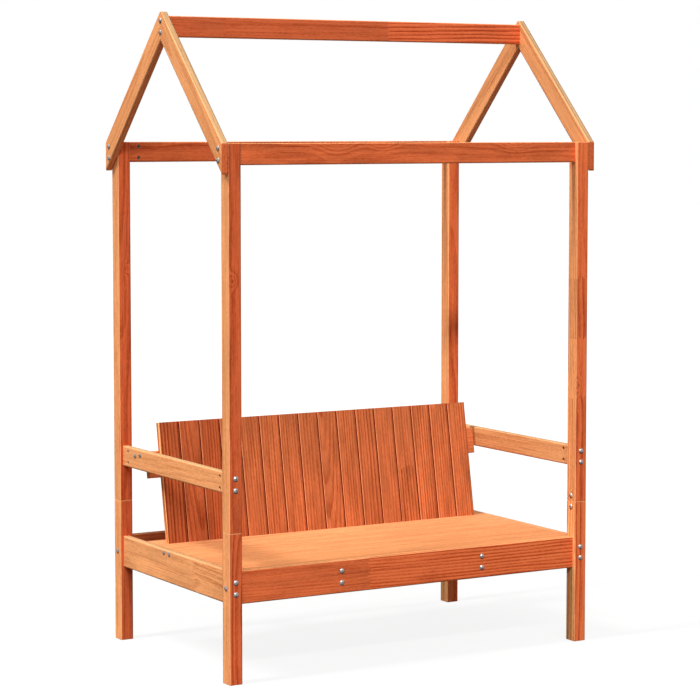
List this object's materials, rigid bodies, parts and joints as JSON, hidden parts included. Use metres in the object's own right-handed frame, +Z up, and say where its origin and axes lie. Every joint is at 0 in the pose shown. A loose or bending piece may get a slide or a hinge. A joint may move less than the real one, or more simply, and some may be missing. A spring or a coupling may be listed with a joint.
{
  "type": "house frame garden bench",
  "caption": "Timber garden bench with a slatted leaning backrest and armrests, bolted inside a house-shaped frame of posts, beams, rafters and a ridge.",
  "frame": {"origin": "on the ground, in the middle of the frame", "axes": "+Z up, +X to the right seen from the front, front of the bench towards -Y"},
  "size_m": [1.2084, 0.7304, 1.801],
  "materials": {
    "frame_timber": "clear orange-brown stain over planed pine",
    "seat_timber": "clear orange-brown stain over planed pine",
    "backrest_timber": "clear orange-brown stain over planed pine",
    "dowel_wood": "bare beech",
    "fastener_steel": "zinc plated",
    "barrel_nut_steel": "zinc plated",
    "screw_steel": "zinc plated"
  },
  "bodies": {
    "root": {"armrest_left": "frame_timber", "armrest_right": "frame_timber", "backrest_crosspiece": "frame_timber", "backrest_lower_batten": "frame_timber", "backrest_slat_01": "backrest_timber", "backrest_slat_02": "backrest_timber", "backrest_slat_03": "backrest_timber", "backrest_slat_04": "backrest_timber", "backrest_slat_05": "backrest_timber", "backrest_slat_06": "backrest_timber", "backrest_slat_07": "backrest_timber", "backrest_slat_08": "backrest_timber", "backrest_slat_09": "backrest_timber", "backrest_slat_10": "backrest_timber", "backrest_slat_11": "backrest_timber", "backrest_slat_12": "backrest_timber", "backrest_slat_13": "backrest_timber", "backrest_slat_14": "backrest_timber", "backrest_slat_15": "backrest_timber", "backrest_slat_16": "backrest_timber", "backrest_upper_batten": "frame_timber", "barrel_nuts": "barrel_nut_steel", "frame_screws": "fastener_steel", "leg_back_left": "frame_timber", "leg_back_right": "frame_timber", "leg_front_left": "frame_timber", "leg_front_right": "frame_timber", "long_bolts": "fastener_steel", "medium_bolts": "fastener_steel", "post_back_left": "frame_timber", "post_back_right": "frame_timber", "post_dowels": "dowel_wood", "post_front_left": "frame_timber", "post_front_right": "frame_timber", "rafter_back_left": "frame_timber", "rafter_back_right": "frame_timber", "rafter_front_left": "frame_timber", "rafter_front_right": "frame_timber", "ridge_beam": "frame_timber", "seat_bearer_left": "frame_timber", "seat_bearer_right": "frame_timber", "seat_board_1": "seat_timber", "seat_board_2": "seat_timber", "seat_board_3": "seat_timber", "seat_board_4": "seat_timber", "seat_board_5": "seat_timber", "seat_board_6": "seat_timber", "seat_board_7": "seat_timber", "seat_board_8": "seat_timber", "seat_cleat_left": "frame_timber", "seat_cleat_right": "frame_timber", "seat_rail_back": "frame_timber", "seat_rail_front": "frame_timber", "seat_rail_left": "frame_timber", "seat_rail_right": "frame_timber", "short_bolts": "fastener_steel", "splice_bolts": "fastener_steel", "top_beam_back": "frame_timber", "top_beam_front": "frame_timber", "wood_screws": "screw_steel"}
  },
  "joints": []
}
